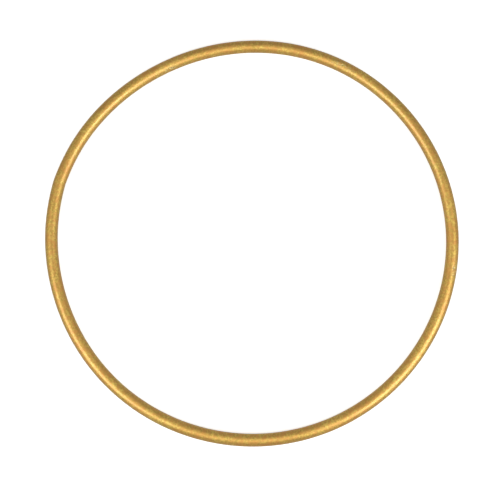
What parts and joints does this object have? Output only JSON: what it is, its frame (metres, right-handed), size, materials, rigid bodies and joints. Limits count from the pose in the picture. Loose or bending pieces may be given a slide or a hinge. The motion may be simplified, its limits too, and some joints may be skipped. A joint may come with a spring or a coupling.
{
  "type": "wreath frame",
  "caption": "Closed hoop of round metal tube with a satin gold finish, lying flat. Greenery and flowers are tied round it, and the wreath hangs from its inner side.",
  "frame": {"origin": "centre of the hoop's true arc, on the plane that the hoop lies on", "axes": "+Z is the hoop's axis and points up out of the plane it lies on. The joint between the tube's ends is on the -X side, and the hoop is the same on its +Y and -Y sides."},
  "size_m": [0.2016, 0.2, 0.006],
  "materials": {
    "gold_finish": "satin",
    "gold_weld": "satin",
    "bare_steel": "satin"
  },
  "bodies": {
    "root": {"ring_tube": "gold_finish", "weld_bead": "gold_weld", "joint_spigot": "bare_steel"}
  },
  "joints": []
}
